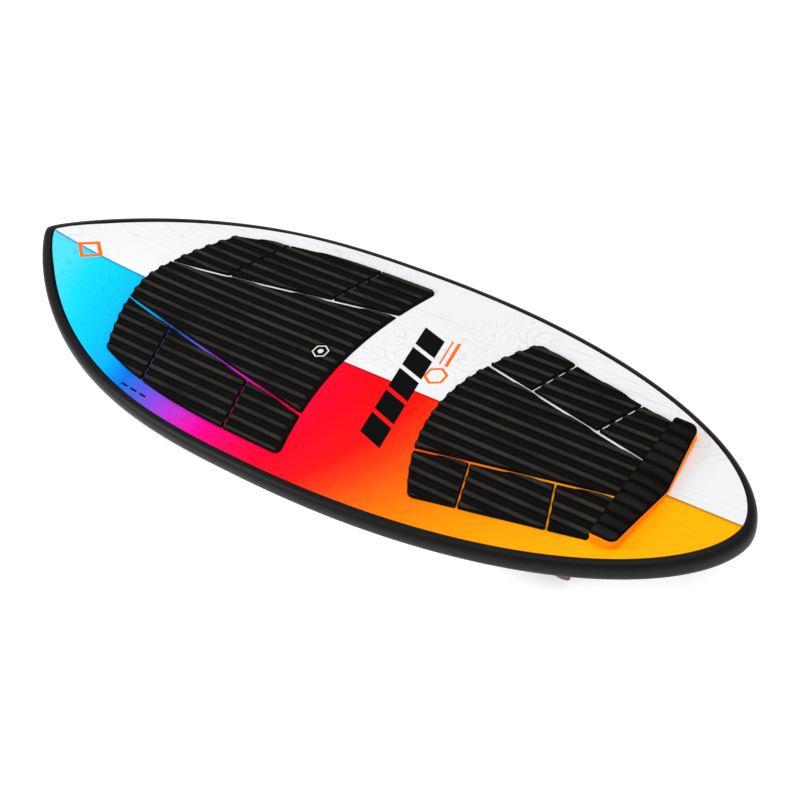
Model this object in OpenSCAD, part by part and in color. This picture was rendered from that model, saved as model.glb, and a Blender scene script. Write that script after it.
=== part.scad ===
// Wakesurf board: foam cores and stringer between two laminated skins, a rounded rail band,
// grooved traction pads, a tail kick and three plug-in fins.
// Board axes: x runs from tail (-) to nose (+), y to the left, z up, and z = 0 is the deck at the
// middle of the board. stand() turns those axes so that the part stands on its fins and its belly.

/* [Board] */
// Length over the rails
board_length = 1370; // [1250:10:1500]
// Width over the rails
board_width = 508.6; // [460:2:560]
// Thickness on the centre line at mid length
board_thick = 37; // [32:1:42]
// Thickness on the centre line at the nose
nose_thick = 21; // [18:1:28]
// Thickness on the centre line at the tail
tail_thick = 37; // [28:1:40]
// Rise of the deck at the nose
nose_lift = 34.5; // [20:1:50]
// Rise of the deck at the tail
tail_lift = 2; // [0:1:12]
// Fall of the deck from the centre line to its side edge at the widest point
deck_crown = 4.35; // [2:0.5:8]

/* [Rail] */
// Width of the rail band along the sides
rail_side = 15; // [12:1:20]
// Width of the rail band at the nose
rail_nose = 24; // [16:1:30]
// Roundness of the rail: 1 is an ellipse, less is boxier
rail_round = 0.87; // [0.7:0.05:1]

/* [Shell] */
// Thickness of the deck laminate
deck_skin_t = 2; // [1.5:0.5:3]
// Thickness of the bottom laminate
bottom_skin_t = 1.5; // [1:0.5:3]
// Width of the stringer
stringer_w = 5; // [4:1:8]

/* [Traction pads] */
// Thickness of the pads
pad_t = 5; // [4:0.5:6]
// Width of the long gaps between the pads
pad_gap = 4; // [2:0.5:5]
// Width of the cross gaps of the front group
front_cut = 1.6; // [1:0.2:4]
// Width of the cross gaps of the rear group
rear_cut = 4; // [1:0.2:5]
// Distance from the edge of the deck to the front pads
pad_margin = 33; // [28:1:40]

/* [Tail kick] */
// Height of the kick above the deck at its front edge
kick_h = 20; // [14:1:24]
// Height of the kick above the deck at its rear point
kick_rear_h = 9; // [7:1:12]
// Thickness of the ribbed layer on top of the kick
kick_cover_t = 2.5; // [2:0.5:4]
// Width of the kick across the board
kick_w = 242; // [220:2:250]

/* [Fins] */
// Depth of the side fins below the bottom
side_fin_depth = 51; // [40:1:60]
// Depth of the centre fin below the bottom
centre_fin_depth = 54; // [40:1:60]
// Thickness of the fins
fin_t = 6; // [5:0.5:6]
// Outward lean of the side fins
fin_cant = 8; // [0:1:10]
// Toe-in of the side fins
fin_toe = 2.5; // [0:0.5:4]

/* [Hidden] */
$fn = 48;

// Plan of the board
tail_out = -board_length * 680 / 1370;
nose_out = tail_out + board_length;
tail_in = tail_out + rail_side;
nose_in = nose_out - rail_nose;
wide_x = 27;
half_out = board_width / 2;
half_in = half_out - rail_side;
// Half widths at which the blunt ends of the deck and of the rail stop
tip_half_in = 6;
tip_half_out = 7;
// Exponents of the plan curve ahead of the widest point and behind it
nose_curve = [2.65, 0.852];
tail_curve = [2.2, 0.56];
// Exponents of the deck's rise and of the thickness change
nose_rise_exp = 4.4;
tail_rise_exp = 4;
thick_exp = 2.5;

// Stations along the board and rows across each half of it
stations = 40;
rows = 5;
rail_arc = 8;

function plan_half(x, half, tail, nose) =
  x > wide_x
  ? half * pow(1 - pow(min(1, (x - wide_x) / (nose - wide_x)), nose_curve[0]), nose_curve[1])
  : half * pow(1 - pow(min(1, (wide_x - x) / (wide_x - tail)), tail_curve[0]), tail_curve[1]);
function width_in(x) = max(tip_half_in, plan_half(x, half_in, tail_in, nose_in));
function width_out(x) = max(tip_half_out, plan_half(x, half_out, tail_out, nose_out));
function lerp(a, b, t) = a + (b - a) * t;
function steps(n) = [for (i = [0:n]) i / n];
function station_x(i, tail, nose) = lerp(tail, nose, (1 - cos(180 * i / stations)) / 2);

// Height of the deck, thickness of the board and height of its bottom
function deck_rise(x) =
  x > 0 ? nose_lift * pow(x / nose_in, nose_rise_exp) : tail_lift * pow(x / tail_in, tail_rise_exp);
function deck_z(x, y) = deck_rise(x) - deck_crown * pow(y / half_in, 2);
function thickness(x) =
  x > 0
  ? lerp(board_thick, nose_thick, pow(min(1, x / nose_in), thick_exp))
  : lerp(board_thick, tail_thick, pow(min(1, x / tail_in), thick_exp));
function bottom_z(x) = deck_rise(x) - thickness(x);

// Fins: station, side offset, toe-in, cant and depth
side_fin_x = -426;
side_fin_y = 128;
centre_fin_x = -556;
tab_len = 84;
tab_depth = 14;
tab_t = 5.4;
// Reach of the tab into the blade
tab_root = 1;
box_len = 112;
box_w = 26;
box_depth = 17;
slot_clear = 0.3;
// Grub screws: size, lean from the slot, station along the box, depth of the axis at the slot,
// distance of the tip along the axis from there, and hexagon socket
screw_r = 2.5;
screw_clear = 0.05;
screw_len = 5.5;
screw_lean = 30;
screw_x = 30;
screw_deep = 10;
screw_back = 4.2;
hex_r = 1.45;
hex_depth = 2.5;
// Screw hole: its start inside the slot and its length, out through the face of the box
hole_start = 2;
hole_len = 30;
// Rise of the blade off the bottom, so that its leaning foot clears the fin box
blade_rise = fin_t / 2 * sin(fin_cant) + 0.3;
// Points of a fin's outline, forward and downward from the middle of its base: leading edge
// curve, trailing edge curve
lead_edge = [[49, 0], [38, 34], [4, 53], [-44, 52]];
trail_edge = [[-44, 52], [-68, 50], [-44, 22], [-50, 0]];
outline_depth = 52.4;
// Steps of each edge curve, and distance of the lowest point behind the middle of the base
edge_steps = 12;
tip_back = 40;

// The board stands on its two side fins and on the point of its belly that the line from the
// fin tips touches
fin_tip_x = side_fin_x - tip_back;
fin_tip_z = bottom_z(side_fin_x) - (side_fin_depth + blade_rise) * cos(fin_cant)
  - fin_t / 2 * sin(fin_cant);
rest_slope = min([for (x = [0:10:nose_in]) (bottom_z(x) - fin_tip_z) / (x - fin_tip_x)]);
rest_pitch = atan(rest_slope);
function standing_x(x, z) = x * cos(rest_pitch) + z * sin(rest_pitch);
nose_reach = standing_x(nose_out, bottom_z(nose_out) + thickness(nose_out) / 2);
tail_reach = standing_x(tail_out, bottom_z(tail_out) + thickness(tail_out) / 2);
middle_x = (nose_reach + tail_reach) / 2;
floor_z = fin_tip_z * cos(rest_pitch) - fin_tip_x * sin(rest_pitch);

module stand() {
  translate([-middle_x, 0, -floor_z])
    rotate([0, rest_pitch, 0])
      children();
}

// Closed solid over a grid of plan points. plan(u, v) gives [x, y]; top and bottom give z.
module patch(us, vs, plan, top, bottom) {
  nu = len(us);
  nv = len(vs);
  base = nu * nv;
  grid = [for (u = us, v = vs) plan(u, v)];
  points = concat(
    [for (p = grid) [p[0], p[1], top(p[0], p[1])]],
    [for (p = grid) [p[0], p[1], bottom(p[0], p[1])]]
  );
  function at(i, j) = i * nv + j;
  quads = [
    for (i = [0:nu - 2], j = [0:nv - 2]) [at(i, j), at(i, j + 1), at(i + 1, j + 1), at(i + 1, j)],
    for (i = [0:nu - 2], j = [0:nv - 2])
      [base + at(i, j), base + at(i + 1, j), base + at(i + 1, j + 1), base + at(i, j + 1)],
    for (i = [0:nu - 2]) [at(i, 0), at(i + 1, 0), base + at(i + 1, 0), base + at(i, 0)],
    for (i = [0:nu - 2])
      [at(i + 1, nv - 1), at(i, nv - 1), base + at(i, nv - 1), base + at(i + 1, nv - 1)],
    for (j = [0:nv - 2]) [at(0, j + 1), at(0, j), base + at(0, j), base + at(0, j + 1)],
    for (j = [0:nv - 2])
      [at(nu - 1, j), at(nu - 1, j + 1), base + at(nu - 1, j + 1), base + at(nu - 1, j)]
  ];
  faces = [for (q = quads, f = [[q[0], q[1], q[2]], [q[0], q[2], q[3]]]) f];
  polyhedron(points, faces);
}

// Full-length layer of the board between two heights, over the given rows
module layer(row_list, top, bottom) {
  patch(
    [for (i = [0:stations]) station_x(i, tail_in, nose_in)],
    row_list,
    function(x, k) [x, sign(k) * lerp(stringer_w / 2, width_in(x), (abs(k) - 1) / (rows - 1))],
    top,
    bottom
  );
}

all_rows = [for (k = [-rows:rows]) if (k != 0) k];
core_top = function(x, y) deck_z(x, y) - deck_skin_t;
core_bottom = function(x, y) bottom_z(x) + bottom_skin_t;

module fin_pockets() {
  at_fin("left") box_block();
  at_fin("right") box_block();
  at_fin("centre") box_block();
}

module core(side) {
  color("linen") difference() {
    layer([for (k = side > 0 ? [1:rows] : [-rows:-1]) k], core_top, core_bottom);
    fin_pockets();
  }
}

module stringer() {
  color("burlywood") difference() {
    layer([-1, 1], core_top, core_bottom);
    fin_pockets();
  }
}

module deck_skin() {
  color("orangered")
    layer(
      all_rows,
      function(x, y) deck_z(x, y),
      core_top
    );
}

module bottom_skin() {
  color("whitesmoke") difference() {
    layer(all_rows, core_bottom, function(x, y) bottom_z(x));
    fin_pockets();
  }
}

// One cross-section of the rail at station i, on the side given by its sign
function rail_section(i, side) =
  let (
    xi = station_x(i, tail_in, nose_in),
    xo = station_x(i, tail_out, nose_out),
    wi = width_in(xi),
    wo = width_out(xo),
    top = deck_z(xi, wi),
    bottom = bottom_z(xi)
  )
  [
    for (a = [0:rail_arc])
      let (
        phi = 180 * a / rail_arc,
        out = pow(abs(sin(phi)), rail_round),
        up = sign(cos(phi)) * pow(abs(cos(phi)), rail_round)
      )
      [lerp(xi, xo, out), side * lerp(wi, wo, out), lerp(bottom, top, (1 + up) / 2)]
  ];

module rail_band() {
  loops = concat(
    [for (i = [0:stations]) rail_section(i, 1)],
    [for (i = [stations:-1:0]) rail_section(i, -1)]
  );
  n = len(loops);
  m = rail_arc + 1;
  faces = [
    for (i = [0:n - 1], a = [0:m - 1])
      let (
        p = i * m + a,
        q = i * m + (a + 1) % m,
        r = (i + 1) % n * m + (a + 1) % m,
        s = (i + 1) % n * m + a
      )
      each [[p, s, r], [p, r, q]]
  ];
  color("dimgray") polyhedron([for (l = loops, p = l) p], faces);
}

// Places its children at a fin: local x forward, local z out of the bottom. The right fin is the
// left one mirrored.
module at_fin(which) {
  x = which == "centre" ? centre_fin_x : side_fin_x;
  slope = atan((bottom_z(x + 1) - bottom_z(x - 1)) / 2);
  mirror([0, which == "right" ? 1 : 0, 0])
    translate([x, which == "centre" ? 0 : side_fin_y, bottom_z(x)])
      rotate([0, -slope, 0])
        rotate([0, 0, which == "centre" ? 0 : -fin_toe])
          rotate([180, 0, 0])
            children();
}

module box_block() {
  translate([0, 0, -box_depth])
    linear_extrude(box_depth) {
      square([box_len - box_w, box_w], center = true);
      translate([(box_len - box_w) / 2, 0]) circle(d = box_w);
      translate([-(box_len - box_w) / 2, 0]) circle(d = box_w);
    }
}

// Places its children on a grub screw's axis: local z points out of the hole's mouth, and the
// origin is where the axis meets the wall of the slot
module at_screw(end) {
  translate([end * screw_x, tab_t / 2 + slot_clear, -screw_deep])
    rotate([-screw_lean, 0, 0])
      children();
}

module fin_box(which) {
  slot = [tab_len + 2 * slot_clear, tab_t + 2 * slot_clear, tab_depth + 2 * slot_clear];
  color("dimgray") at_fin(which) difference() {
    box_block();
    translate([0, 0, -tab_depth / 2]) cube(slot, center = true);
    for (end = [-1, 1])
      at_screw(end)
        translate([0, 0, -hole_start])
          cylinder(r = screw_r + screw_clear, h = hole_len);
  }
}

module screw(which, end) {
  color("silver") at_fin(which) at_screw(end) translate([0, 0, screw_back]) difference() {
    cylinder(r = screw_r, h = screw_len);
    translate([0, 0, screw_len - hex_depth]) cylinder(r = hex_r, h = hex_depth + 1, $fn = 6);
  }
}

function bezier(p, t) =
  pow(1 - t, 3) * p[0] + 3 * t * pow(1 - t, 2) * p[1] + 3 * t * t * (1 - t) * p[2] + pow(t, 3) * p[3];

module fin(which) {
  depth = which == "centre" ? centre_fin_depth : side_fin_depth;
  lean = which == "centre" ? 0 : fin_cant;
  scale_z = depth / outline_depth;
  edge = concat(
    [for (t = steps(edge_steps)) if (t < 1) bezier(lead_edge, t)],
    [for (t = steps(edge_steps)) bezier(trail_edge, t)]
  );
  color("saddlebrown") at_fin(which) {
    rotate([lean, 0, 0])
      translate([0, fin_t / 2, 0])
        rotate([90, 0, 0])
          linear_extrude(fin_t)
            polygon([for (p = edge) [p[0], p[1] * scale_z + blade_rise]]);
    translate([0, 0, (tab_root - tab_depth) / 2])
      cube([tab_len, tab_t, tab_depth + tab_root], center = true);
  }
}

// Layout of the traction pads. An edge across the board is x against y, given by its x at the
// middle, its fall towards the sides, the y of that fall and its power. An edge or a gap along the
// board is y against x on the left half, given by two of its points.
function edge_across(c) = function(y) c[0] - c[1] * pow(abs(y) / c[2], c[3]);
function edge_along(a, b) = function(x) lerp(a[1], b[1], (x - a[0]) / (b[0] - a[0]));
front_pad_rear = edge_across([7, 35, 200, 2]);
front_pad_nose = edge_across([442, 59, 155, 1.6]);
front_gap = edge_along([0, 125], [430, 53]);
front_side = function(x) width_in(x) - pad_margin;
rear_pad_rear = function(y) kick_front + pad_gap / 2;
rear_pad_nose = edge_across([-180, 60, 172, 2]);
rear_gap = edge_along([-490, 40], [-198, 100]);
rear_side = edge_along([-500, 122], [-260, 174]);
// Cross gaps, each as its x at the long gap and its x at the side edge
front_cross = [[117, 84], [316, 272]];
rear_cross = [[-413, -445], [-287, -317]];
// Thickness of the adhesive under the pads
glue_t = 0.25;
// Cells of a pad's surface along the board, and across it on the middle and the side pads
pad_cells = 8;
side_pad_cells = 4;

// Line of a cross gap, as x against y, moved along the board by shift
function cross_line(ends, gap, side, shift) =
  let (y0 = gap(ends[0]), y1 = side(ends[1]))
  function(y) lerp(ends[0], ends[1], (y - y0) / (y1 - y0)) + shift;
// Where a line across the board meets a line along it, found by stepping n times from x
function meet(across, along, x, n = 8) =
  n == 0 ? x : meet(across, along, across(along(x)), n - 1);

// A pad between two lines across the board and two lines along it
module pad(rear, nose, inner, outer, cells) {
  color("black") patch(
    steps(pad_cells),
    steps(cells),
    function(u, v)
      let (
        along = function(x) lerp(inner(x), outer(x), v),
        x = lerp(meet(rear, along, rear(0)), meet(nose, along, nose(0)), u)
      )
      [x, along(x)],
    function(x, y) deck_z(x, y) + glue_t + pad_t,
    function(x, y) deck_z(x, y) + glue_t
  );
}

module centre_pad(rear, nose, gap) {
  pad(rear, nose, function(x) pad_gap / 2 - gap(x), function(x) gap(x) - pad_gap / 2, pad_cells);
}

// A side pad of the left half, mirrored for the right half. It fills the bay from one cross gap
// to the next, or to the end of its group: bay 0 is the rearmost, bay 2 the foremost.
module side_pad(hand, bay, rear, nose, cross, cut, gap, side) {
  mirror([0, hand < 0 ? 1 : 0, 0])
    pad(
      bay == 0 ? rear : cross_line(cross[bay - 1], gap, side, cut / 2),
      bay == 2 ? nose : cross_line(cross[bay], gap, side, -cut / 2),
      function(x) gap(x) + pad_gap / 2,
      side,
      side_pad_cells
    );
}

module front_centre_pad() {
  centre_pad(front_pad_rear, front_pad_nose, front_gap);
}

module rear_centre_pad() {
  centre_pad(rear_pad_rear, rear_pad_nose, rear_gap);
}

module front_side_pad(hand, bay) {
  side_pad(hand, bay, front_pad_rear, front_pad_nose, front_cross, front_cut, front_gap, front_side);
}

module rear_side_pad(hand, bay) {
  side_pad(hand, bay, rear_pad_rear, rear_pad_nose, rear_cross, rear_cut, rear_gap, rear_side);
}

// Tail kick: a wedge with a steep front face and a V-shaped rear edge, under a ribbed layer
kick_front = -503;
kick_point = -555;
kick_corner = -541;
kick_corner_r = 11;
// Power of the fall of its top, which is steepest at the rear edge
kick_fall_exp = 4;
// Cells of its surface along the board, and its rows across the board as shares of half its width
kick_cells = 6;
kick_rows = [-1, -0.96, -0.9, -0.8, -0.5, 0, 0.5, 0.8, 0.9, 0.96, 1];

function kick_rear(y) =
  let (flat = kick_w / 2 - kick_corner_r, over = max(0, abs(y) - flat))
  lerp(kick_point, kick_corner, min(1, abs(y) / flat))
    + kick_corner_r - sqrt(pow(kick_corner_r, 2) - pow(over, 2));
function kick_height(x) =
  lerp(kick_h, kick_rear_h, pow((x - kick_front) / (kick_point - kick_front), kick_fall_exp));

module kick_layer(top, bottom) {
  patch(
    steps(kick_cells),
    kick_rows,
    function(u, v) let (y = v * kick_w / 2) [lerp(kick_rear(y), kick_front, u), y],
    top,
    bottom
  );
}

module kick_wedge() {
  color("orange")
    kick_layer(
      function(x, y) deck_z(x, y) + kick_height(x) - kick_cover_t,
      function(x, y) deck_z(x, y) + glue_t
    );
}

module kick_cover() {
  color("black")
    kick_layer(
      function(x, y) deck_z(x, y) + kick_height(x),
      function(x, y) deck_z(x, y) + kick_height(x) - kick_cover_t
    );
}

stand() core(1);  // core_left
stand() core(-1);  // core_right
stand() stringer();
stand() deck_skin();
stand() bottom_skin();
stand() rail_band();
stand() fin_box("left");  // fin_box_left
stand() fin_box("right");  // fin_box_right
stand() fin_box("centre");  // fin_box_centre
stand() front_centre_pad();  // front_pad_centre
stand() front_side_pad(1, 0);  // front_pad_left_rear
stand() front_side_pad(1, 1);  // front_pad_left_middle
stand() front_side_pad(1, 2);  // front_pad_left_front
stand() front_side_pad(-1, 0);  // front_pad_right_rear
stand() front_side_pad(-1, 1);  // front_pad_right_middle
stand() front_side_pad(-1, 2);  // front_pad_right_front
stand() rear_centre_pad();  // rear_pad_centre
stand() rear_side_pad(1, 0);  // rear_pad_left_rear
stand() rear_side_pad(1, 1);  // rear_pad_left_middle
stand() rear_side_pad(1, 2);  // rear_pad_left_front
stand() rear_side_pad(-1, 0);  // rear_pad_right_rear
stand() rear_side_pad(-1, 1);  // rear_pad_right_middle
stand() rear_side_pad(-1, 2);  // rear_pad_right_front
stand() kick_wedge();
stand() kick_cover();
stand() fin("left");  // fin_left
stand() fin("right");  // fin_right
stand() fin("centre");  // fin_centre
stand() screw("left", 1);  // screw_left_front
stand() screw("left", -1);  // screw_left_rear
stand() screw("right", 1);  // screw_right_front
stand() screw("right", -1);  // screw_right_rear
stand() screw("centre", 1);  // screw_centre_front
stand() screw("centre", -1);  // screw_centre_rear
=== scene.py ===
"""Looks of a wakesurf board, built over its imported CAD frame.

Board axes, in millimetres: x runs from tail (-) to nose (+), y to the left, z up, and z = 0 is the deck
at the middle of the board. place() turns a piece that is built in them to the board's standing pose.
"""

import math
from dataclasses import dataclass
from typing import Callable

import bmesh
import bpy
import numpy as np
from mathutils import Matrix, Vector


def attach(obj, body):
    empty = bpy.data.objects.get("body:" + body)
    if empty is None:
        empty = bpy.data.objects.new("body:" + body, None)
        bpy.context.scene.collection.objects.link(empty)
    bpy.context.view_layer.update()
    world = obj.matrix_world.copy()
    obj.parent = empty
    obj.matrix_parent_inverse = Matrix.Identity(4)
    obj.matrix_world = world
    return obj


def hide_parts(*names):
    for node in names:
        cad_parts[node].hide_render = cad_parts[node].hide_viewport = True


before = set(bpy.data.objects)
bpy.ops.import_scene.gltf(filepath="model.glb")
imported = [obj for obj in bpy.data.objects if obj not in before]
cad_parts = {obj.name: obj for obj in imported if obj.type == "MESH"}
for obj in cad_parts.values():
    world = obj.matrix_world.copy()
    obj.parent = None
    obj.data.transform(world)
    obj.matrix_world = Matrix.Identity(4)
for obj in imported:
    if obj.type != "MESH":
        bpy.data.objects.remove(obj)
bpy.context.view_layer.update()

MM = 0.001

# Standing pose: nose-down pitch on the fins and the belly, and the shift of the board's origin
PITCH = math.radians(3.92573)
SHIFT = (-5.45046, 0, 56.1838)
STAND = Matrix.Translation(Vector(SHIFT) * MM) @ Matrix.Rotation(PITCH, 4, "Y")

# Plan of the board: ends, widest place, half widths and powers of its curves
TAIL_OUT = -680
NOSE_OUT = 690
RAIL_SIDE = 15
RAIL_NOSE = 24
TAIL_IN = TAIL_OUT + RAIL_SIDE
NOSE_IN = NOSE_OUT - RAIL_NOSE
WIDE_X = 27
HALF_OUT = 254.3
HALF_IN = HALF_OUT - RAIL_SIDE
NOSE_CURVE = (2.65, 0.852)
TAIL_CURVE = (2.2, 0.56)
# Rounding of the nose: what it takes off the point, and how far back it reaches
TIP_CUT = 2
TIP_REACH = 6

# Profile of the board
NOSE_LIFT = 34.5
TAIL_LIFT = 2
CROWN = 4.35
NOSE_RISE = 4.4
TAIL_RISE = 4
THICK = 37
NOSE_THICK = 21
TAIL_THICK = 37
THICK_CURVE = 2.5
RAIL_ROUND = 0.78
DECK_T = 2
BOTTOM_T = 1.5

# Mesh of the board: stations along it, rows across it, and the angle in degrees above which an edge is
# sharp
STATIONS = 200
DECK_ROWS = 45
BOTTOM_ROWS = 13
SHARP = 40
PAD_SHARP = 50
BOTTOM_SHARP = 30

# Rolled edge of a laminate: insets from its side and drops, and the half width under which it shrinks
ROLLED = ((0, 0.8), (0.12, 0.35), (0.4, 0.08), (0.8, 0), (1.4, 0))
ROLL_HALF = 6

# Rail: start of its arc in radians, steps round it, and its seam as shares of the way out and up
ARC_START = 0.1
ARC_STEPS = 30
SEAM = ((0.012, 0.95), (0.03, 0.985), (0.055, 0.997))

# Traction pads: thickness over ridges and in valleys, pitch of the ridges, y of one ridge in each group,
# widths of the long gaps and of each group's cross gaps, glue line, and margin to the edge of the deck
PAD_T = 5
VALLEY_T = 2.1
RIDGE_PITCH = 21.3
FRONT_PHASE = 10.65
REAR_PHASE = 4.8
PAD_GAP = 4.5
FRONT_CUT = 1.9
REAR_CUT = 3
GLUE_T = 0.25
PAD_MARGIN = 33

# Profile of a ridge: distance from its middle and height as a share of the ridge
RIDGE = (
    (0, 1), (1.4, 0.99), (2.6, 0.94), (3.4, 0.82), (4, 0.6), (4.8, 0.2), (5.6, 0.05), (7, 0), (10.65, 0),
)

# Edges across the board: x in the middle, fall to the side over a reach, and its power
FRONT_REAR_EDGE = (7, 35, 200, 2)
FRONT_NOSE_EDGE = (442, 59, 155, 1.6)
REAR_NOSE_EDGE = (-180, 60, 172, 2)
# Lines along the board, each through two points: the long gaps, and the side of the rear group
FRONT_GAP_LINE = ((0, 125), (430, 53))
REAR_GAP_LINE = ((-490, 40), (-198, 100))
REAR_SIDE_LINE = ((-500, 122), (-260, 174))
# Cross gaps: x where each meets the long gap and where it meets the side
FRONT_CROSS = ((117, 84), (316, 272))
REAR_CROSS = ((-413, -445), (-287, -317))
# Radii of the outer corners, rear and nose, of each group, and of every other corner
FRONT_RADII = (9, 20)
REAR_RADII = (3, 14)
SMALL_R = 2.5
# Length over which the front group thins out to its rear edge, and the share left at that edge
REAR_BEVEL = 13
BEVEL_LEFT = 0.45
# Level patch under the badge: its middle, radius, slope's width, height as a share of a ridge, and the
# spacing of mesh lines over it
BADGE = (52, 2)
BADGE_R = 14.5
BADGE_SLOPE = 2
BADGE_LEVEL = 0.5
BADGE_STEP = 2

# Mesh of a pad: spacing of its outline's points, samples of each edge, points round a corner, and
# spacing of the lines across it, in general and on a bevel
OUTLINE_STEP = 5
EDGE_SAMPLES = 40
CORNER_STEPS = 7
X_STEP = 18
BEVEL_STEP = 4
# Insets of the rings that round a pad's top edge, the last also the width of the painted shade along
# that edge, the rounding's radius, and the least thickness left
RINGS = (0, 0.2, 0.6, 1.6, 2.4)
EDGE_R = 1.6
LEAST_T = 0.2

# Tail kick
KICK_FRONT = -503
KICK_POINT = -555
KICK_CORNER = -541
KICK_CORNER_R = 11
KICK_HALF = 121
KICK_H = 20
KICK_REAR_H = 9
KICK_FALL = 4
COVER_T = 2.5
# Softening of the rear point, front corners, rounding of the wedge under the cover, and the clearance
# between the two
APEX_R = 6
KICK_FRONT_R = 4
WEDGE_EDGE_R = 0.4
COVER_BOTTOM_LIFT = 0.05
# Profile of a groove of the cover: distance from its middle and depth
RIB = ((0, 1.9), (0.8, 1.7), (1.6, 1.1), (2.6, 0.75), (4.5, 0.4), (7, 0.12), (9, 0.03), (10.65, 0))
# Tone of the cover between grooves, depth of groove at which its painted shade would turn it black, and
# least tone
COVER_TONE = 0.7
GROOVE_SHADE_DEPTH = 3
COVER_LEAST = 0.25
# Mesh of the kick: spacing of lines across it and of its outline's points, and points round a rear
# corner and across the rear edge
KICK_STEP = 6
KICK_OUTLINE_STEP = 4
KICK_CORNER_STEPS = 9
KICK_REAR_STEPS = 45

# Fins and fin boxes
SIDE_FIN = (-426, 128)
CENTRE_FIN = (-556, 0)
FIN_T = 6
FIN_TOE = 2.5
FIN_CANT = 8
FIN_DEPTH = {"left": 51, "right": 51, "centre": 54}
OUTLINE_DEPTH = 52.4
LEAD_EDGE = ((49, 0), (38, 34), (4, 53), (-44, 52))
TRAIL_EDGE = ((-44, 52), (-68, 50), (-44, 22), (-50, 0))
# Length, thickness and depth of the tab, its rounding, and how far it reaches up into the fin
TAB = (84, 5.4, 14)
TAB_ROUND = 0.7
TAB_REACH = 0.5
# Fin box, clearance of its opening in the laminate, and how far the cutter reaches either way
BOX_LEN = 112
BOX_W = 26
BOX_CLEAR = 0.15
CUT_REACH = 8
# Loss of thickness towards the tip, half thickness at the trailing edge, chord below which the section
# closes, gap between fin and bottom, and the share of the chord that the tab is shaded as
TIP_THINNING = 0.45
TRAIL_HALF = 0.35
CLOSING_CHORD = 14
FIN_GAP = 0.3
TAB_CHORD = 0.3
# Mesh of a fin: sections along it, points along the chord, and points round a stadium's end
SPAN_STEPS = 22
CHORD_STEPS = 16
END_STEPS = 10


# ---------------- shape of the board


def blend(a, b, share):
    """The value that lies a share of the way from a to b."""
    return a + (b - a) * share


def plan_half(x, half, tail, nose):
    """Half width of a plan outline at x."""
    x = np.asarray(x, float)
    ahead = np.clip((x - WIDE_X) / (nose - WIDE_X), 0, 1)
    behind = np.clip((WIDE_X - x) / (WIDE_X - tail), 0, 1)
    front = (1 - ahead ** NOSE_CURVE[0]) ** NOSE_CURVE[1]
    rear = (1 - behind ** TAIL_CURVE[0]) ** TAIL_CURVE[1]
    return half * np.where(x > WIDE_X, front, rear)


def rounded_half(x, half, tail, nose):
    """The same with a rounded nose, which ends TIP_CUT short of the point."""
    tip = plan_half(nose - TIP_CUT, half, tail, nose)
    fade = np.exp(-(nose - TIP_CUT - np.asarray(x, float)) / TIP_REACH)
    return np.sqrt(np.maximum(0, plan_half(x, half, tail, nose) ** 2 - (tip * fade) ** 2))


def width_in(x):
    return rounded_half(x, HALF_IN, TAIL_IN, NOSE_IN)


def stations(tail, nose):
    """Stations from tail to nose, closer together towards both ends."""
    t = (1 - np.cos(np.linspace(0, math.pi, STATIONS + 1))) / 2
    return blend(tail, nose - TIP_CUT, t)


def deck_rise(x):
    x = np.asarray(x, float)
    nose = NOSE_LIFT * np.clip(x / NOSE_IN, 0, None) ** NOSE_RISE
    tail = TAIL_LIFT * np.clip(x / TAIL_IN, 0, None) ** TAIL_RISE
    return np.where(x > 0, nose, tail)


def deck_z(x, y):
    return deck_rise(x) - CROWN * (np.asarray(y, float) / HALF_IN) ** 2


def bottom_z(x):
    x = np.asarray(x, float)
    t = np.clip(np.where(x > 0, x / NOSE_IN, x / TAIL_IN), 0, 1) ** THICK_CURVE
    return deck_rise(x) - blend(THICK, np.where(x > 0, NOSE_THICK, TAIL_THICK), t)


# ---------------- meshes and pieces


def add_object(name, data):
    """New object in the scene."""
    added = bpy.data.objects.new(name, data)
    bpy.context.scene.collection.objects.link(added)
    return added


def set_material(mesh, material):
    mesh.materials.clear()
    mesh.materials.append(material)


def smooth(mesh, sharp):
    """Smooth shading, but for edges with an angle above sharp."""
    mesh.shade_smooth()
    mesh.set_sharp_from_angle(angle=math.radians(sharp))


def make_mesh(name, points, faces, attributes=None, sharp=SHARP):
    """Closed mesh from points in millimetres, its doubles merged and its normals outward."""
    mesh = bpy.data.meshes.new(name)
    mesh.from_pydata([tuple(float(c) * MM for c in p) for p in points], [], faces)
    for key, values in (attributes or {}).items():
        layer = mesh.attributes.new(key, "FLOAT", "POINT")
        layer.data.foreach_set("value", np.asarray(values, np.float32))
    work = bmesh.new()
    work.from_mesh(mesh)
    bmesh.ops.remove_doubles(work, verts=work.verts, dist=1e-6)
    bmesh.ops.dissolve_degenerate(work, edges=work.edges, dist=1e-7)
    bmesh.ops.recalc_face_normals(work, faces=work.faces)
    work.to_mesh(mesh)
    work.free()
    smooth(mesh, sharp)
    return mesh


def place(name, mesh, material, body, nodes):
    """A piece built in board axes, in its standing pose, riding on a body and standing for CAD nodes."""
    piece = add_object(name, mesh)
    set_material(mesh, material)
    mesh.transform(STAND)
    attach(piece, body)
    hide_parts(*nodes)
    return piece


def loft(sections, ring=False):
    """Points and faces of a surface through closed sections, itself closed into a ring if asked."""
    count = len(sections)
    size = len(sections[0])
    faces = []
    for i in range(count if ring else count - 1):
        here = i * size
        there = (i + 1) % count * size
        for a in range(size):
            b = (a + 1) % size
            faces.append((here + a, here + b, there + b, there + a))
    return [p for section in sections for p in section], faces


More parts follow.
